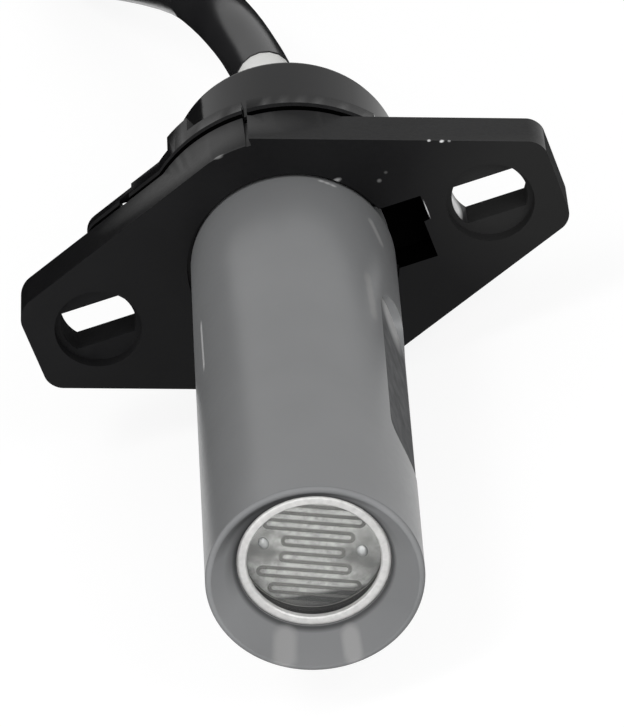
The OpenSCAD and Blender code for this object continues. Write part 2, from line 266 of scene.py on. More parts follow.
def addStudio(setup):
    bpy.ops.mesh.primitive_plane_add(size=setup["floorSize"],
                                     location=(0, 0, setup["floorHeight"] * mm))
    floor = bpy.context.object
    floor.name = "floor"
    floor.data.materials.append(floorMaterial())
    for name, place, size, watts in setup["softboxes"]:
        bpy.ops.object.light_add(type="AREA", location=place)
        lamp = bpy.context.object
        lamp.name = name
        lamp.data.shape = "RECTANGLE"
        lamp.data.size, lamp.data.size_y = size
        lamp.data.energy = watts
        lamp.rotation_euler = Vector(place).to_track_quat("Z", "Y").to_euler()
    cloth = cardMaterial()
    for name, corners in setup["cards"].items():
        mesh = bpy.data.meshes.new(name)
        mesh.from_pydata([[v * mm for v in corner] for corner in corners], [],
                         [list(range(len(corners)))])
        card = bpy.data.objects.new(name, mesh)
        bpy.context.scene.collection.objects.link(card)
        card.data.materials.append(cloth)
        card.visible_camera = card.visible_diffuse = card.visible_shadow = False
        card.visible_transmission = False
    world = bpy.data.worlds.new("studioRoom")
    bpy.context.scene.world = world
    world.use_nodes = True
    nodes, links = world.node_tree.nodes, world.node_tree.links
    background = nodes["Background"]
    background.inputs["Color"].default_value = (1, 1, 1, 1)
    level = spread(nodes, links, seenDirectly(nodes, links), setup["roomLight"],
                   setup["roomSeen"], 0, 1)
    links.new(level, background.inputs["Strength"])


def cardMaterial():
    mat = bpy.data.materials.new("darkCloth")
    mat.use_nodes = True
    shader = mat.node_tree.nodes["Principled BSDF"]
    shader.inputs["Base Color"].default_value = (0.01, 0.01, 0.01, 1)
    shader.inputs["Roughness"].default_value = 1
    shader.inputs["Specular IOR Level"].default_value = 0
    return mat


def floorMaterial():
    mat = bpy.data.materials.new("paleFloor")
    mat.use_nodes = True
    nodes, links = mat.node_tree.nodes, mat.node_tree.links
    nodes.clear()
    out = nodes.new("ShaderNodeOutputMaterial")
    glow = nodes.new("ShaderNodeEmission")
    matte = nodes.new("ShaderNodeBsdfDiffuse")
    both = nodes.new("ShaderNodeAddShader")
    matte.inputs["Color"].default_value = (*[studio["floorColour"]] * 3, 1)
    level = times(nodes, links, seenDirectly(nodes, links), studio["floorGlow"])
    links.new(level, glow.inputs["Strength"])
    links.new(glow.outputs[0], both.inputs[0])
    links.new(matte.outputs[0], both.inputs[1])
    links.new(both.outputs[0], out.inputs["Surface"])
    return mat


addStudio(studio)
bpy.context.scene.view_settings.view_transform = "Standard"
report("floor, lamps and room are in place")


# shared effects

def effectGroup(name, inputs, outputs):
    group = bpy.data.node_groups.new(name, "ShaderNodeTree")
    for label, kind, value in inputs:
        socket = group.interface.new_socket(name=label, in_out="INPUT", socket_type=kind)
        if value is not None:
            socket.default_value = value
    for label, kind in outputs:
        group.interface.new_socket(name=label, in_out="OUTPUT", socket_type=kind)
    return group, group.nodes.new("NodeGroupInput"), group.nodes.new("NodeGroupOutput")


def mouldedGrainGroup():
    # fine grain, slow mottle and soft sink marks of a moulded surface
    group, start, end = effectGroup(
        "mouldedGrain",
        [("Place", "NodeSocketVector", None), ("Grain Size", "NodeSocketFloat", 2500.0),
         ("Mottle Size", "NodeSocketFloat", 160.0)],
        [("Grain", "NodeSocketFloat"), ("Mottle", "NodeSocketFloat")])
    fine = group.nodes.new("ShaderNodeTexNoise")
    fine.inputs["Detail"].default_value = 4
    fine.inputs["Roughness"].default_value = 0.65
    slow = group.nodes.new("ShaderNodeTexNoise")
    slow.inputs["Detail"].default_value = 3
    for node, size in ((fine, "Grain Size"), (slow, "Mottle Size")):
        group.links.new(start.outputs["Place"], node.inputs["Vector"])
        group.links.new(start.outputs[size], node.inputs["Scale"])
    group.links.new(fine.outputs["Fac"], end.inputs["Grain"])
    group.links.new(slow.outputs["Fac"], end.inputs["Mottle"])
    return group


def dustGroup():
    # scattered pale specks, each in its own cell
    group, start, end = effectGroup(
        "dustSpecks",
        [("Place", "NodeSocketVector", None), ("Cells", "NodeSocketFloat", 420.0),
         ("Share", "NodeSocketFloat", 0.12), ("Radius", "NodeSocketFloat", 0.12)],
        [("Speck", "NodeSocketFloat")])
    nodes, links = group.nodes, group.links
    cells = nodes.new("ShaderNodeTexVoronoi")
    links.new(start.outputs["Place"], cells.inputs["Vector"])
    links.new(start.outputs["Cells"], cells.inputs["Scale"])
    split = nodes.new("ShaderNodeSeparateColor")
    links.new(cells.outputs["Color"], split.inputs[0])
    near = maths(nodes, links, "LESS_THAN", cells.outputs["Distance"], start.outputs["Radius"])
    chosen = maths(nodes, links, "LESS_THAN", split.outputs[0], start.outputs["Share"])
    links.new(times(nodes, links, near, chosen), end.inputs["Speck"])
    return group


grainGroup = mouldedGrainGroup()
specksGroup = dustGroup()


def startMaterial(name):
    mat = bpy.data.materials.new(name)
    mat.use_nodes = True
    nodes = mat.node_tree.nodes
    shader = nodes["Principled BSDF"]
    place = nodes.new("ShaderNodeTexCoord").outputs["Object"]
    return mat, nodes, mat.node_tree.links, shader, place


def useGroup(nodes, links, group, place, **values):
    node = nodes.new("ShaderNodeGroup")
    node.node_tree = group
    links.new(place, node.inputs["Place"])
    for label, value in values.items():
        node.inputs[label.replace("_", " ")].default_value = value
    return node


def grainBump(nodes, links, height, shader, strength, depth):
    bump = nodes.new("ShaderNodeBump")
    bump.inputs["Strength"].default_value = strength
    bump.inputs["Distance"].default_value = depth * mm
    links.new(height, bump.inputs["Height"])
    links.new(bump.outputs[0], shader.inputs["Normal"])


def alongWay(nodes, links, place, way):
    # how far a place lies along that way
    return vectors(nodes, links, "DOT_PRODUCT", place, way)


def fromAxis(nodes, links, place):
    # distance from the tube's axis
    flat = vectors(nodes, links, "MULTIPLY", place, (1, 0, 1))
    return vectors(nodes, links, "LENGTH", flat)


def nearSpot(nodes, links, place, centre, size, core=0.4):
    # 1 in the middle of a small oval spot, 0 at its rim
    shift = vectors(nodes, links, "SUBTRACT", place, [v * mm for v in centre])
    fit = vectors(nodes, links, "DIVIDE", shift, [v * mm for v in size])
    return spread(nodes, links, vectors(nodes, links, "LENGTH", fit), 1, 0, core, 1)


def addMarks(nodes, links, place, colour, marks):
    for centre, size, tone in marks:
        spot = nearSpot(nodes, links, place, centre, size)
        colour = mixColour(nodes, links, spot, colour, (tone, tone, tone))
    return colour


def paintNoseShade(nodes, links, place, colour, noseShade):
    # painted shade: dark in the root of the cone, darker under the cone's upper side and a little
    # darker towards the bottom
    reach = fromAxis(nodes, links, place)
    front = spread(nodes, links, alongWay(nodes, links, place, (0, 1, 0)), 1, 0,
                   noseShade["from"] * mm, (noseShade["from"] + noseShade["fade"]) * mm)
    height = alongWay(nodes, links, place, (0, 0, 1))
    near, far = noseShade["rootReach"]
    root = times(nodes, links, front,
                 spread(nodes, links, reach, noseShade["root"], 0, near * mm, far * mm))
    colour = mixColour(nodes, links, root, colour, noseShade["colour"])
    for low, high, near, far, share in noseShade["brows"]:
        inside = spread(nodes, links, reach, share, 0, near * mm, far * mm)
        upper = spread(nodes, links, height, 0, 1, low * mm, high * mm)
        brow = times(nodes, links, front, times(nodes, links, inside, upper))
        colour = mixColour(nodes, links, brow, colour, noseShade["colour"])
    low, high = noseShade["lowHeight"]
    lower = spread(nodes, links, height, noseShade["low"], 0, low * mm, high * mm)
    return mixColour(nodes, links, times(nodes, links, front, lower), colour, noseShade["colour"])


def grainySurface(name, look):
    # the grain, roughness and mottled colour that plastics and metals share
    mat, nodes, links, shader, place = startMaterial(name)
    grain = useGroup(nodes, links, grainGroup, place, Grain_Size=look["grainSize"],
                     Mottle_Size=look["mottleSize"])
    mottle = spread(nodes, links, grain.outputs["Mottle"], 0, 1)
    colour = mixColour(nodes, links, mottle, look["dark"], look["light"])
    links.new(spread(nodes, links, grain.outputs["Grain"], *look["roughness"]),
              shader.inputs["Roughness"])
    grainBump(nodes, links, grain.outputs["Grain"], shader, look["bump"], look["bumpDepth"])
    return mat, nodes, links, shader, place, colour


def mouldedPlastic(name, look):
    mat, nodes, links, shader, place, colour = grainySurface(name, look)
    if look.get("dust"):
        specks = useGroup(nodes, links, specksGroup, place, Cells=look["dustCells"],
                          Share=look["dust"], Radius=look["dustRadius"])
        colour = mixColour(nodes, links, specks.outputs["Speck"], colour, look["dustColour"])
    # painted shade in the cone of the nose
    if look.get("noseShade"):
        colour = paintNoseShade(nodes, links, place, colour, look["noseShade"])
    colour = addMarks(nodes, links, place, colour, look.get("marks", []))
    links.new(colour, shader.inputs["Base Color"])
    shader.inputs["Specular IOR Level"].default_value = look["shine"]
    return mat


def combWearAndShadow(nodes, links, place, colour, comb):
    # each finger is lighter along its middle, the joints are smudged, and the low edge carries a
    # painted shadow of the can's rim
    turn = radians(comb["turn"])
    across = alongWay(nodes, links, place, (-sin(turn), 0, cos(turn)))
    wave = maths(nodes, links, "MULTIPLY_ADD", across, 2 * pi / (comb["pitch"] * mm),
                 -2 * pi * comb["fingerMiddle"] / comb["pitch"])
    ridge = maths(nodes, links, "COSINE", wave)
    along = maths(nodes, links, "ABSOLUTE",
                  alongWay(nodes, links, place, (cos(turn), 0, sin(turn))))
    fingers = spread(nodes, links, along, 1, 0, comb["fingers"] * mm,
                     (comb["fingers"] + comb["fingersFade"]) * mm)
    edge = times(nodes, links, fingers,
                 spread(nodes, links, ridge, comb["edgeDark"], 0, *comb["ridge"]))
    colour = mixColour(nodes, links, edge, colour, comb["dull"])
    for side in (-1, 1):
        x, z = side * comb["jointX"] * cos(turn), side * comb["jointX"] * sin(turn)
        for dx, dz, size, share in comb["smudges"]:
            spot = nearSpot(nodes, links, place, (x + dx, comb["front"], z + dz),
                            (size, comb["smudgeDepth"], size), comb["smudgeCore"])
            colour = mixColour(nodes, links, times(nodes, links, spot, share), colour,
                               comb["dull"])
    # painted shadow of the can's rim over the low edge of the combs
    lowTurn = radians(comb["rimShadowTurn"])
    upward = alongWay(nodes, links, place, (-sin(lowTurn), 0, cos(lowTurn)))
    rimShadow = spread(nodes, links, upward, 1, 0, comb["rimShadowFrom"] * mm,
                  (comb["rimShadowFrom"] + comb["rimShadowFade"]) * mm)
    return mixColour(nodes, links, rimShadow, colour, comb["rimShadow"])


combLook = {
    "turn": -26, "pitch": 0.6, "fingerMiddle": 2.7, "fingers": 1.9, "fingersFade": 0.8,
    "edgeDark": 0.55, "ridge": (-1, 0.6), "jointX": 3.15, "front": -34.35,
    # the painted shadow of the can's rim on the combs' low edge
    "rimShadowTurn": -10, "rimShadowFrom": -3.63, "rimShadowFade": 0.3,
    "dull": (0.085, 0.083, 0.08), "rimShadow": (0.012, 0.012, 0.012),
    # place beside the joint, radius and share
    "smudges": [(-0.7, -0.2, 1.2, 0.9), (0.1, -0.85, 1.1, 0.8), (0.45, 0.7, 0.9, 0.6)],
    "smudgeDepth": 2, "smudgeCore": 0.2,
}


def plainMetal(name, look):
    mat, nodes, links, shader, place, colour = grainySurface(name, look)
    if look.get("comb"):
        colour = combWearAndShadow(nodes, links, place, colour, look["comb"])
    # painted shade: black inside the can, behind its window
    if look.get("blackFrom"):
        inside = spread(nodes, links, alongWay(nodes, links, place, (0, 1, 0)), 0, 1,
                        look["blackFrom"] * mm, (look["blackFrom"] + look["blackFade"]) * mm)
        colour = mixColour(nodes, links, inside, colour, look["black"])
    links.new(colour, shader.inputs["Base Color"])
    shader.inputs["Metallic"].default_value = look.get("metallic", 1)
    return mat


# painted shade in the nose's cone: in its root, under its upper side and towards its bottom
paintedNoseShade = {"from": -36.4, "fade": 0.6, "root": 0.9, "rootReach": (4.95, 5.2),
            # lowest and highest place, full and no painted shade by distance from the axis, share
            "brows": [(-0.5, 3, 5.0, 5.7, 0.85), (3.2, 5.6, 6.1, 6.95, 0.9)],
            "low": 0.22, "lowHeight": (-4, -1), "colour": (0.02, 0.02, 0.021)}


def streak(start, end, count, size, tone):
    # a row of spots between two places, each given as radius, y and angle round the axis
    marks = []
    for i in range(count):
        radius, y, angle = (a + (b - a) * i / (count - 1) for a, b in zip(start, end))
        marks.append(((radius * sin(radians(angle)), y, radius * cos(radians(angle))), size, tone))
    return marks


# marks: middle in mm, half sizes in mm, tone
tubeMarks = (
    # a pale streak on the left flank
    streak((7, -12, -49.5), (7, -16.6, -48.5), 5, (0.16, 1.1, 0.2), 0.55)
    # two pale streaks on the right flank
    + streak((7, -2.3, 67), (7, -3.8, 75), 5, (0.3, 0.5, 0.4), 0.34)
    + streak((7, -10.8, 60), (7, -14.6, 62.3), 4, (0.32, 1.2, 0.5), 0.26)
    # pale crumbs where the tube enters the flange
    + streak((7, -0.15, 35), (7, -0.3, 42), 3, (0.3, 0.2, 0.3), 0.45))
# painted reflections: two pale streaks low in the cone
coneReflections = (streak((5.4, -36.95, 219.5), (6.4, -38.2, 217), 5, (1.05, 0.8, 0.8), 0.244)
             + streak((5.5, -37, 175), (6.4, -38.2, 177), 5, (0.75, 0.8, 0.8), 0.244))
flangeMarks = [
    # chips on the upper right edge and beside the right slot
    ((11.84, 0.03, 6.08), (0.15, 0.16, 0.14), 0.7),
    ((12.63, -0.03, 5.72), (0.2, 0.2, 0.14), 0.95),
    ((13.1, 0, 5.57), (0.13, 0.13, 0.13), 0.4),
    ((16.55, 0.1, 4.4), (0.15, 0.16, 0.15), 0.6),
    # specks above the pocket
    ((7.68, 0, 4.3), (0.2, 0.2, 0.18), 0.09),
    ((8.3, 0, 4.75), (0.16, 0.2, 0.14), 0.05),
    # painted glints on the upper left edge and on the pocket's step, and a pale fleck beside the
    # tube
    ((-1.9, 0.1, 9.83), (0.5, 0.16, 0.18), 0.2),
    ((9.97, 0, 1.05), (0.055, 0.2, 0.85), 0.7),
    ((5.0, -0.05, 5.35), (0.4, 0.2, 0.2), 0.2),
    # painted highlight on the end wall of the right slot
    ((11.68, 1.7, -0.3), (0.3, 1.6, 1.5), 0.95),
    # painted light on the upper left wall, a crescent of painted shade in the right seat, painted
    # light on the right end
    ((-4.5, 2, 9), (9, 1.9, 6), 0.05),
    ((17, 0.9, -1), (0.6, 0.8, 2), 0.001),
    ((17.5, 0, 0), (9, 1.2, 9), 0.011),
]
# painted light on the rear end of each recess floor
recessHighlights = [((side * 6.5, -10.9, 0), (1.5, 2.6, 2.6), 0.45) for side in (-1, 1)]

# what the small parts share
smallPart = dict(grainSize=1500, mottleSize=200, bump=0.2, bumpDepth=0.02, shine=0.4)
looks = {
    "tube_plastic": dict(dark=(0.19, 0.193, 0.196), light=(0.215, 0.218, 0.222), grainSize=1800,
                         mottleSize=90, roughness=(0.29, 0.35), bump=0.08, bumpDepth=0.02,
                         shine=0.35, dust=0.015, dustCells=500, dustRadius=0.08,
                         dustColour=(0.32, 0.32, 0.32), marks=tubeMarks),
    "dull_plastic": dict(dark=(0.085, 0.086, 0.088), light=(0.14, 0.142, 0.145), grainSize=1400,
                         mottleSize=900, roughness=(0.75, 0.9), bump=0.5, bumpDepth=0.06,
                         shine=0.1, marks=recessHighlights),
    # the cone: a matt copy of the tube's plastic, a little lighter as painted light, carrying
    # painted shade and painted reflections
    "cone_plastic": dict(dark=(0.205, 0.208, 0.211), light=(0.23, 0.233, 0.237), grainSize=1800,
                         mottleSize=90, roughness=(0.7, 0.85), bump=0.1, bumpDepth=0.02,
                         shine=0.04, noseShade=paintedNoseShade, marks=coneReflections),
    "flange_plastic": dict(dark=(0.0025, 0.0025, 0.0028), light=(0.0046, 0.0046, 0.005),
                           grainSize=3200, mottleSize=140, roughness=(0.29, 0.4), bump=0.25,
                           bumpDepth=0.03, shine=0.115, dust=0.035, dustCells=520,
                           dustRadius=0.13, dustColour=(0.06, 0.06, 0.06), marks=flangeMarks),
    # matt copy for the seats, the cut-off ends and the clip's front; its mark is painted light
    # round the right seat
    "recess_plastic": dict(dark=(0.009, 0.009, 0.0095), light=(0.016, 0.016, 0.0165),
                           grainSize=3200, mottleSize=300, roughness=(0.7, 0.9), bump=0.3,
                           bumpDepth=0.03, shine=0.03, marks=[((15, 1, 0), (6, 9, 6), 0.024)]),
    # painted shade: black and without shine, for the flange's pocket and seam and for the clip's
    # front
    "pocket_shade": dict(dark=(0.0004, 0.0004, 0.0004), light=(0.0012, 0.0012, 0.0012),
                        grainSize=3200, mottleSize=300, roughness=(0.9, 1.0), bump=0.3,
                        bumpDepth=0.03, shine=0.0),
    "clip_plastic": dict(dark=(0.003, 0.003, 0.0033), light=(0.006, 0.006, 0.0064),
                         grainSize=3000, mottleSize=150, roughness=(0.2, 0.26), bump=0.15,
                         bumpDepth=0.025, shine=0.13),
    "cap_plastic": dict(dark=(0.005, 0.005, 0.0055), light=(0.008, 0.008, 0.0085),
                        grainSize=2600, mottleSize=150, roughness=(0.07, 0.12), bump=0.08,
                        bumpDepth=0.02, shine=0.128, dust=0.03, dustCells=500, dustRadius=0.1,
                        dustColour=(0.07, 0.07, 0.07)),
    "sheath_white": dict(smallPart, dark=(0.82, 0.82, 0.8), light=(0.92, 0.92, 0.9),
                         roughness=(0.4, 0.5)),
    "jacket": dict(dark=(0.012, 0.012, 0.013), light=(0.02, 0.02, 0.021), grainSize=2200,
                   mottleSize=120, roughness=(0.2, 0.26), bump=0.05, bumpDepth=0.02, shine=0.42),
    "grommet_rubber": dict(smallPart, dark=(0.012, 0.012, 0.012), light=(0.02, 0.02, 0.02),
                           roughness=(0.6, 0.75), bump=0.3, shine=0.3),
    "cell_ceramic": dict(dark=(0.4, 0.385, 0.36), light=(0.5, 0.485, 0.455), grainSize=6000,
                         mottleSize=700, roughness=(0.5, 0.7), bump=0.3, bumpDepth=0.01,
                         shine=0.4),
    # the track's mark is a painted shadow of the can's rim on its low edge
    "cell_track": dict(dark=(0.05, 0.048, 0.044), light=(0.08, 0.077, 0.072), grainSize=9000,
                       mottleSize=900, roughness=(0.5, 0.65), bump=0.2, bumpDepth=0.005,
                       shine=0.3, marks=[((-1, -34.3, -5.8), (3, 3, 3), 0.01)]),
    "carrier_plastic": dict(smallPart, dark=(0.55, 0.51, 0.44), light=(0.66, 0.62, 0.54),
                            roughness=(0.5, 0.6)),
    "seal_glass": dict(dark=(0.06, 0.13, 0.1), light=(0.1, 0.18, 0.14), grainSize=3000,
                       mottleSize=500, roughness=(0.1, 0.2), bump=0.1, bumpDepth=0.01,
                       shine=0.6),
    "sleeve": dict(smallPart, dark=(0.02, 0.02, 0.02), light=(0.03, 0.03, 0.03),
                   roughness=(0.5, 0.6)),
    "core_brown": dict(smallPart, dark=(0.14, 0.055, 0.025), light=(0.19, 0.075, 0.032),
                       roughness=(0.35, 0.5), bump=0.15),
    "core_blue": dict(smallPart, dark=(0.03, 0.1, 0.33), light=(0.042, 0.13, 0.4),
                      roughness=(0.35, 0.5), bump=0.15),
    "tie_plastic": dict(smallPart, dark=(0.7, 0.7, 0.67), light=(0.8, 0.8, 0.77),
                        grainSize=1200, mottleSize=150, roughness=(0.35, 0.5)),
    "collar_plastic": dict(smallPart, dark=(0.42, 0.028, 0.02), light=(0.5, 0.036, 0.026),
                           grainSize=1200, mottleSize=150, roughness=(0.35, 0.5)),
}
metalLooks = {
    # the can's black inside, behind the window, is painted shade
    "can_metal": dict(dark=(0.5, 0.497, 0.49), light=(0.6, 0.595, 0.585), grainSize=5000,
                      mottleSize=3000, roughness=(0.45, 0.55), bump=0.12, bumpDepth=0.008,
                      metallic=0.45, blackFrom=-35.87, blackFade=0.03,
                      black=(0.004, 0.004, 0.004)),
    "comb_metal": dict(dark=(0.24, 0.237, 0.23), light=(0.44, 0.435, 0.42), grainSize=9000,
                       mottleSize=2400, roughness=(0.5, 0.65), bump=0.3, bumpDepth=0.005,
                       comb=combLook),
    "header_metal": dict(dark=(0.4, 0.39, 0.37), light=(0.5, 0.49, 0.47), grainSize=4000,
                         mottleSize=300, roughness=(0.3, 0.45), bump=0.2, bumpDepth=0.01),
    "solder": dict(dark=(0.24, 0.24, 0.24), light=(0.42, 0.42, 0.42), grainSize=4000,
                   mottleSize=1500, roughness=(0.5, 0.65), bump=0.3, bumpDepth=0.03),
    "copper": dict(dark=(0.66, 0.33, 0.18), light=(0.78, 0.43, 0.26), grainSize=4000,
                   mottleSize=600, roughness=(0.29, 0.42), bump=0.2, bumpDepth=0.01),
    "ferrule_metal": dict(dark=(0.6, 0.6, 0.6), light=(0.72, 0.72, 0.71), grainSize=4000,
                          mottleSize=600, roughness=(0.29, 0.42), bump=0.2, bumpDepth=0.01),
}


def windowGlass():
    mat, nodes, links, shader, place = startMaterial("cell_glass")
    shader.inputs["Base Color"].default_value = (0.97, 0.985, 0.98, 1)
    shader.inputs["Roughness"].default_value = 0.03
    shader.inputs["IOR"].default_value = 1.45
    shader.inputs["Transmission Weight"].default_value = 1
    # the lamps shine through the window on to the cell
    path = nodes.new("ShaderNodeLightPath")
    clear = nodes.new("ShaderNodeBsdfTransparent")
    mix = nodes.new("ShaderNodeMixShader")
    links.new(path.outputs["Is Shadow Ray"], mix.inputs[0])
    links.new(shader.outputs[0], mix.inputs[1])
    links.new(clear.outputs[0], mix.inputs[2])
    links.new(mix.outputs[0], nodes["Material Output"].inputs["Surface"])
    grain = useGroup(nodes, links, grainGroup, place, Grain_Size=300.0, Mottle_Size=150.0)
    grainBump(nodes, links, grain.outputs["Mottle"], shader, 0.1, 0.01)
    return mat


materials = {name: mouldedPlastic(name, look) for name, look in looks.items()}
materials.update({name: plainMetal(name, look) for name, look in metalLooks.items()})
materials["cell_glass"] = windowGlass()


def paint(obj, slotName):
    obj.data.materials.clear()
    obj.data.materials.append(materials[slotName])


def finishPiece(obj, name, slotName, nodeNames):
    obj.name = name
    obj.data.name = name
    paint(obj, slotName)
    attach(obj, "root")
    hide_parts(*nodeNames)


paint(cordJacket, "jacket")
paint(tailCores[0], "core_brown")
paint(tailCores[1], "core_blue")

nodeFinish = {
    "cell_disc": "cell_ceramic", "cell_layer": "cell_track", "cell_comb_left": "comb_metal",
    "cell_comb_right": "comb_metal", "cell_header": "header_metal",
    "cell_pins": "header_metal", "pin_seals": "seal_glass", "cell_carrier": "carrier_plastic",
    "solder_joints": "solder", "conductor_ends": "copper", "lead_sleeves": "sleeve",
    "core_a": "core_brown", "core_b": "core_blue", "strain_relief": "grommet_rubber",
    "cord_tie": "tie_plastic", "ferrule_collars": "collar_plastic",
    "ferrules": "ferrule_metal", "cell_window": "cell_glass",
}
for nodeName, finish in nodeFinish.items():
    paint(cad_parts[nodeName], finish)
report("materials are on the nodes")


# modelling helpers

weldGap = 0.002 * mm
past = 1  # mm that a cutting tool runs past a face
slack = 0.01  # mm that a face or a corner may lie off its place
bevelAngle = radians(28)  # edges that turn more than this are softened
smoothAngle = radians(35)  # edges that turn more than this stay sharp in the shading


def allFaces():
    bpy.ops.object.mode_set(mode="EDIT")
    bpy.ops.mesh.select_all(action="SELECT")


def faceOutwards():
    bpy.ops.mesh.select_all(action="SELECT")
    bpy.ops.mesh.normals_make_consistent(inside=False)
    bpy.ops.object.mode_set(mode="OBJECT")


def onePiece(obj):
    pick(obj)
    bpy.ops.object.transform_apply(location=True, rotation=True, scale=True)
    return obj


def turnedPiece(profile, segments=144):
    # rings of (radius, y) in mm round the tube's axis, pulled out of one circle and closed
    deselectAll()
    r, y = profile[0]
    bpy.ops.mesh.primitive_circle_add(vertices=segments, radius=r * mm, location=(0, y * mm, 0),
                                      rotation=(pi / 2, 0, 0))
    obj = onePiece(bpy.context.object)
    allFaces()
    for nextR, nextY in profile[1:] + profile[:1]:
        bpy.ops.mesh.extrude_region_move(
            TRANSFORM_OT_translate={"value": (0, (nextY - y) * mm, 0)})
        bpy.ops.transform.resize(value=(nextR / r, 1, nextR / r),
                                 center_override=(0, nextY * mm, 0))
        r, y = nextR, nextY
    bpy.ops.mesh.select_all(action="SELECT")
    bpy.ops.mesh.remove_doubles(threshold=weldGap)
    faceOutwards()
    return obj


def arcPoints(centre, radius, start, end, steps):
    angles = [radians(start + (end - start) * i / steps) for i in range(steps + 1)]
    return [(centre[0] + radius * cos(a), centre[1] + radius * sin(a)) for a in angles]


def rod(radius, front, rear, x=0.0, z=0.0, sides=96):
    deselectAll()
    bpy.ops.mesh.primitive_cylinder_add(
        vertices=sides, radius=radius * mm, depth=(rear - front) * mm,
        location=(x * mm, (front + rear) / 2 * mm, z * mm), rotation=(pi / 2, 0, 0))
    return onePiece(bpy.context.object)


def block(low, high):
    deselectAll()
    middle = [(a + b) / 2 * mm for a, b in zip(low, high)]
    bpy.ops.mesh.primitive_cube_add(size=1, location=middle)
    obj = bpy.context.object
    obj.scale = [(b - a) * mm for a, b in zip(low, high)]
    return onePiece(obj)


def combine(obj, tool, how):
    pick(obj)
    step = obj.modifiers.new("combine", "BOOLEAN")
    step.operation = how
    step.solver = "EXACT"
    step.object = tool
    bpy.ops.object.modifier_apply(modifier=step.name)
    bpy.data.objects.remove(tool)


def clearSelection(obj):
    bpy.ops.object.mode_set(mode="OBJECT")
    for part in (obj.data.vertices, obj.data.edges, obj.data.polygons):
        for item in part:
            item.select = False


def selectFaces(obj, wanted):
    clearSelection(obj)
    for face in obj.data.polygons:
        face.select = wanted(face)
    bpy.ops.object.mode_set(mode="EDIT")


def selectEdges(obj, wanted):
    # wanted is asked with both ends of an edge, in mm
    clearSelection(obj)
    for edge in obj.data.edges:
        a, b = (obj.data.vertices[i].co / mm for i in edge.vertices)
        edge.select = wanted(a, b)
    bpy.ops.object.mode_set(mode="EDIT")
    bpy.ops.mesh.select_mode(type="EDGE")


def softenEdges(obj, width, segments=2):
    pick(obj)
    step = obj.modifiers.new("softEdges", "BEVEL")
    step.width = width * mm
    step.segments = segments
    step.limit_method = "ANGLE"
    step.angle_limit = bevelAngle
    step.harden_normals = False
    bpy.ops.object.modifier_apply(modifier=step.name)
    bpy.ops.object.shade_smooth_by_angle(angle=smoothAngle)
    even = obj.modifiers.new("evenNormals", "WEIGHTED_NORMAL")
    even.keep_sharp = True
    bpy.ops.object.modifier_apply(modifier=even.name)


def within(place, low, high):
    return all(a < value < b for value, a, b in zip(place, low, high))


def secondFinish(obj, slotName, wanted):
    # another finish on some faces of a piece
    obj.data.materials.append(materials[slotName])
    pick(obj)
    selectFaces(obj, wanted)
    obj.active_material_index = len(obj.data.materials) - 1
    bpy.ops.object.material_slot_assign()
    bpy.ops.object.mode_set(mode="OBJECT")


def mergedCopy(nodeName):
    # a CAD node's mesh is loose triangles, so the copy is welded and its flats joined
    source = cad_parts[nodeName]
    obj = bpy.data.objects.new(nodeName + "Copy", source.data.copy())
    bpy.context.scene.collection.objects.link(obj)
    pick(obj)
    allFaces()
    bpy.ops.mesh.remove_doubles(threshold=weldGap)
    bpy.ops.mesh.dissolve_limited(angle_limit=radians(1))
    bpy.ops.object.mode_set(mode="OBJECT")
    return obj


# sensor tube

tubeParts = {
    "noseY": -38.4, "radius": 7, "noseRadius": 6.9, "lip": 0.25, "guide": 9.8,
    "canSeat": -36.25, "shoulder": -31.25, "canRadius": 4.9, "rearBore": 5.2,
    "seatFloor": 0.5, "spigot": 6.7, "groove": 6.2, "grooveFront": 3.35, "grooveRear": 5.4,
    "rear": 12, "chamfer": 0.4, "seatTaper": 0.05, "edge": 0.1,
    "recess": {"floor": 6.45, "middle": -19.5, "length": 19, "height": 5, "toolDepth": 2,
               "endFlat": 0.02},
}


def buildTube(part):
    lip, chamfer = part["lip"], part["chamfer"]
    profile = ([(part["canRadius"], part["shoulder"]), (part["canRadius"], part["canSeat"])]
               + arcPoints((part["noseRadius"] - lip, part["noseY"] + lip), lip, -120, 0, 8)
               + [(part["radius"], -part["guide"]), (part["radius"], 0),
                  (part["radius"] - part["seatTaper"], part["seatFloor"]),
                  (part["spigot"], part["seatFloor"]), (part["spigot"], part["grooveFront"]),
                  (part["groove"], part["grooveFront"]), (part["groove"], part["grooveRear"]),
                  (part["spigot"], part["grooveRear"]), (part["spigot"], part["rear"] - chamfer),
                  (part["spigot"] - chamfer, part["rear"]), (part["rearBore"], part["rear"]),
                  (part["rearBore"], part["shoulder"])])
    tube = turnedPiece(profile, 160)
    recess = part["recess"]
    for side in (-1, 1):
        half = recess["height"] / 2
        straight = recess["length"] / 2 - half
        tool = block((recess["floor"], recess["middle"] - straight - half, -half),
                     (recess["floor"] + recess["toolDepth"], recess["middle"] + straight + half,
                      half))
        pick(tool)
        selectEdges(tool, lambda a, b: abs(a.x - b.x) > 1)
        bpy.ops.mesh.bevel(offset=(half - recess["endFlat"]) * mm, segments=12, affect="EDGES")
        bpy.ops.object.mode_set(mode="OBJECT")
        if side < 0:
            tool.scale.x = -1
            onePiece(tool)
            allFaces()
            faceOutwards()
        combine(tube, tool, "DIFFERENCE")
    softenEdges(tube, part["edge"])
    return tube


def onCone(face):
    # the cone and its lip are matt
    x, y, z = face.center / mm
    inside = (x * x + z * z) ** 0.5 < tubeParts["noseRadius"] - 0.005
    return inside and y < tubeParts["canSeat"] + 0.05


def inRecess(face):
    # the floors of the two recesses, without their edges
    x, y, z = face.center / mm
    recess = tubeParts["recess"]
    return (abs(abs(x) - recess["floor"]) < slack and abs(z) < recess["height"] / 2 - 0.1
            and abs(y - recess["middle"]) < recess["length"] / 2)


sensorTube = buildTube(tubeParts)
finishPiece(sensorTube, "sensorTube", "tube_plastic", ["sensor_tube"])
secondFinish(sensorTube, "cone_plastic", onCone)
secondFinish(sensorTube, "dull_plastic", inRecess)
report("sensor tube is modelled")


# flange

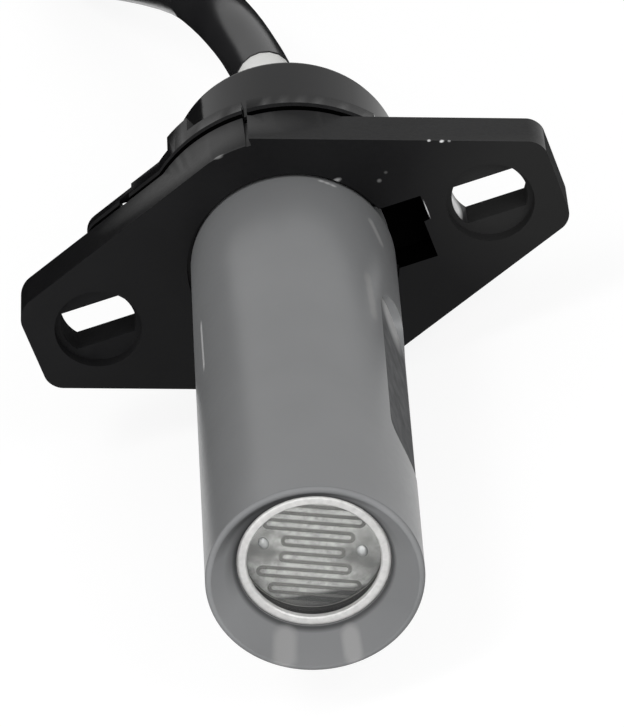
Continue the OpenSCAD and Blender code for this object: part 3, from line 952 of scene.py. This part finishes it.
flangeParts = {
    "halfLength": 19, "halfAcross": 9.95, "slope": 21.3, "thickness": 3.2,
    "corners": {"ends": 0.93, "lowLeft": 0.93, "highLeft": 1.24, "middle": 0.296},
    "shoulder": 10, "shoulderFrom": (-4, 8.9), "top": 12,
    "hubFront": 0.8, "hubInner": 5, "hubRadius": 10.4, "hubStep": 0.02, "bore": 6.7,
    "holeX": 14.2, "seat": 3, "seatDepth": 0.9, "slotRound": 2.6, "slotFlat": 1.525,
    "pocket": [(5, -2.7), (9.5, -2.7), (9.5, 0.2), (9.9, 0.25), (9.9, 2.2), (5, 2.2)],
    "pocketDepth": 2.6, "tubeSeat": 7.25, "tubeSeatDepth": 0.5,
    "split": (0.12, 0.48), "splitDepth": 0.75, "edge": 0.16,
    # boxes round faces with a finish of their own
    "pocketZone": ((5, 0.17, -2.73), (9.93, 2.7, 2.23)), "seamZone": ((4.5, 0.02, -4), (9, 4, 4)),
    "seamReach": 7.3, "glintZone": ((11, 1, -1.5), (12.6, 4, 1.5)),
}


def prism(outline, front, rear):
    # a plate with that outline of (x, z), drawn as one face and pulled rearwards
    mesh = bpy.data.meshes.new("prism")
    mesh.from_pydata([(x * mm, front * mm, z * mm) for x, z in outline], [],
                     [list(range(len(outline)))])
    obj = bpy.data.objects.new("prism", mesh)
    bpy.context.scene.collection.objects.link(obj)
    pick(obj)
    allFaces()
    bpy.ops.mesh.extrude_region_move(
        TRANSFORM_OT_translate={"value": (0, (rear - front) * mm, 0)})
    faceOutwards()
    return obj


def buildFlange(part):
    reach, slope = part["halfLength"], radians(part["slope"])
    peak = part["halfAcross"] / cos(slope)
    end = peak - reach * sin(slope) / cos(slope)
    rear = part["thickness"]
    plate = prism([(0, peak), (reach, end), (reach, -end), (0, -peak), (-reach, -end),
                   (-reach, end)], 0, rear)
    corners = part["corners"]
    # the edges through the plate at that x, above or below the middle where z says so
    for x, z, width in ((reach, 0, corners["ends"]), (-reach, -1, corners["lowLeft"]),
                        (-reach, 1, corners["highLeft"]), (0, 0, corners["middle"])):
        selectEdges(plate, lambda a, b: abs(a.y - b.y) > 1 and abs(a.x - x) < slack
                    and abs(a.z) > 0.5 and z * a.z >= 0)
        bpy.ops.mesh.bevel(offset=width * mm, segments=8, affect="EDGES")
    bpy.ops.object.mode_set(mode="OBJECT")
    # left of the split the upper corner is round
    cornerX, cornerZ = part["shoulderFrom"]
    splitLeft, splitRight = part["split"]
    cut = block((cornerX, -past, cornerZ), (splitLeft, rear + past, part["top"]))
    combine(cut, rod(part["shoulder"], -2 * past, rear + 2 * past, sides=160), "DIFFERENCE")
    combine(plate, cut, "DIFFERENCE")
    hubFront = part["hubFront"]
    hub = turnedPiece([(part["hubInner"], hubFront),
                       (part["halfAcross"] - part["hubStep"], hubFront),
                       (part["hubRadius"], rear), (part["hubInner"], rear)], 160)
    combine(plate, hub, "UNION")
    combine(plate, rod(part["bore"], -past, rear + past, sides=160), "DIFFERENCE")
    combine(plate, rod(part["tubeSeat"], -past, part["tubeSeatDepth"], sides=160), "DIFFERENCE")
    combine(plate, prism(part["pocket"], -past, part["pocketDepth"]), "DIFFERENCE")
    combine(plate, block((splitLeft, -past, peak - part["splitDepth"]),
                         (splitRight, rear + past, part["top"])), "DIFFERENCE")
    wide, flat = part["seat"] + past, part["slotFlat"]
    for x in (-part["holeX"], part["holeX"]):
        combine(plate, rod(part["seat"], -past, part["seatDepth"], x), "DIFFERENCE")
        slot = rod(part["slotRound"], -past, rear + past, x)
        combine(slot, block((x - wide, -2 * past, -flat), (x + wide, rear + 2 * past, flat)),
                "INTERSECT")
        combine(plate, slot, "DIFFERENCE")
    softenEdges(plate, part["edge"], segments=3)
    return plate


def inPocket(face):
    # painted shade: the pocket, and the shaded seam of the tube beside it, are painted black
    place = face.center / mm
    nearTube = (place.x ** 2 + place.z ** 2) ** 0.5 < flangeParts["seamReach"]
    return (within(place, *flangeParts["pocketZone"])
            or (nearTube and within(place, *flangeParts["seamZone"])))


def inSeat(face):
    # the screw seats and the cut-off ends are matt, apart from the slot end that carries the
    # painted highlight
    place = face.center / mm
    fromHole = ((abs(place.x) - flangeParts["holeX"]) ** 2 + place.z ** 2) ** 0.5
    inside = fromHole < flangeParts["seat"] + slack and place.y > flangeParts["edge"] + slack
    return ((inside and not within(place, *flangeParts["glintZone"]))
            or abs(place.x) > flangeParts["halfLength"] - 2 * slack)


flange = buildFlange(flangeParts)
finishPiece(flange, "flangePlate", "flange_plastic", ["flange"])
secondFinish(flange, "pocket_shade", inPocket)
secondFinish(flange, "recess_plastic", inSeat)
report("flange is modelled")


# clip, cap and what comes out of it

# painted shade in the groove between clip and flange: black at the clip's front and matt a little
# further back, both along the tube
clipParts = {"window": ((-10.05, 4.3, 5.62), (-9.35, 5.0, 6.35)), "edge": 0.15,
             "shadeTo": 3.6, "dullTo": 4.1}
clip = mergedCopy("retaining_clip")
combine(clip, block(*clipParts["window"]), "DIFFERENCE")
softenEdges(clip, clipParts["edge"])
bpy.ops.object.mode_set(mode="EDIT")
for edge in ("shadeTo", "dullTo"):
    bpy.ops.mesh.select_all(action="SELECT")
    bpy.ops.mesh.bisect(plane_co=(0, clipParts[edge] * mm, 0), plane_no=(0, 1, 0))
bpy.ops.object.mode_set(mode="OBJECT")
finishPiece(clip, "retainingClip", "clip_plastic", ["retaining_clip"])
secondFinish(clip, "recess_plastic", lambda face: face.center.y / mm < clipParts["dullTo"])
secondFinish(clip, "pocket_shade", lambda face: face.center.y / mm < clipParts["shadeTo"])

capParts = {"radius": 8.05, "front": 5.3, "rear": 14.6, "wall": 13, "bore": 6.7,
            "sheath": 2.05, "edge": 0.55, "chamfer": 0.2, "mouth": 0.25, "fineEdge": 0.05}


def buildCap(part):
    edge, chamfer = part["edge"], part["chamfer"]
    profile = ([(part["bore"], part["front"]), (part["radius"] - chamfer, part["front"]),
                (part["radius"], part["front"] + chamfer)]
               + arcPoints((part["radius"] - edge, part["rear"] - edge), edge, 0, 90, 8)
               + [(part["sheath"] + part["mouth"], part["rear"]),
                  (part["sheath"], part["rear"] - chamfer),
                  (part["sheath"], part["wall"]), (part["bore"], part["wall"])])
    cap = turnedPiece(profile)
    softenEdges(cap, part["fineEdge"])
    return cap


rearCap = buildCap(capParts)
finishPiece(rearCap, "rearCap", "cap_plastic", ["rear_cap"])

sheathLine = [(0, 9, 0), (0, 16, 0), (-0.3, 20, 0), (-0.7, 24, 0), (-1.2, 27.3, 0)]
innerSheath = wire("innerSheath", smoothLine(sheathLine, steps=4), capParts["sheath"],
                   resolution=7)
finishPiece(innerSheath, "innerSheath", "sheath_white", ["inner_sheath"])
report("clip, cap and sheath are modelled")


# can of the cell

canParts = {"outer": 4.9, "aperture": 4.25, "inner": 4.65, "front": -36.25, "window": -35.85,
            "rear": -32, "crimp": 4.2, "header": -32.25, "rim": 0.25, "innerEdge": 0.08}


def buildCan(part):
    rim, innerEdge = part["rim"], part["innerEdge"]
    profile = ([(part["inner"], part["window"]), (part["aperture"], part["window"]),
                (part["aperture"], part["front"] + innerEdge),
                (part["aperture"] + innerEdge, part["front"])]
               + arcPoints((part["outer"] - rim, part["front"] + rim), rim, -90, 0, 6)
               + [(part["outer"], part["rear"]), (part["crimp"], part["rear"]),
                  (part["crimp"], part["header"]), (part["inner"], part["header"])])
    can = turnedPiece(profile)
    pick(can)
    bpy.ops.object.shade_smooth_by_angle(angle=smoothAngle)
    return can


cellCan = buildCan(canParts)
finishPiece(cellCan, "cellCan", "can_metal", ["cell_can"])


# solder blobs where the pins meet the combs

dotParts = {"radius": 0.45, "shape": (0.75, 0.35, 1), "uneven": 0.02, "unevenShare": 0.5,
            "firstSeed": 3}


def buildDots(part, comb):
    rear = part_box("cell_dots")[1][1]
    turn, reach = radians(comb["turn"]), comb["jointX"]
    dots = []
    for side in (-1, 1):
        deselectAll()
        bpy.ops.mesh.primitive_uv_sphere_add(
            segments=24, ring_count=16, radius=part["radius"] * mm,
            location=(side * reach * cos(turn) * mm, rear, side * reach * sin(turn) * mm))
        dot = bpy.context.object
        dot.scale = part["shape"]
        onePiece(dot)
        allFaces()
        bpy.ops.transform.vertex_random(offset=part["uneven"] * mm, uniform=part["unevenShare"],
                                        seed=part["firstSeed"] + side)
        bpy.ops.object.mode_set(mode="OBJECT")
        bpy.ops.object.shade_smooth()
        dots.append(dot)
    pick(dots[0])
    dots[1].select_set(True)
    bpy.ops.object.join()
    return bpy.context.object


solderDots = buildDots(dotParts, combLook)
finishPiece(solderDots, "solderDots", "solder", ["cell_dots"])
report("cell is modelled")
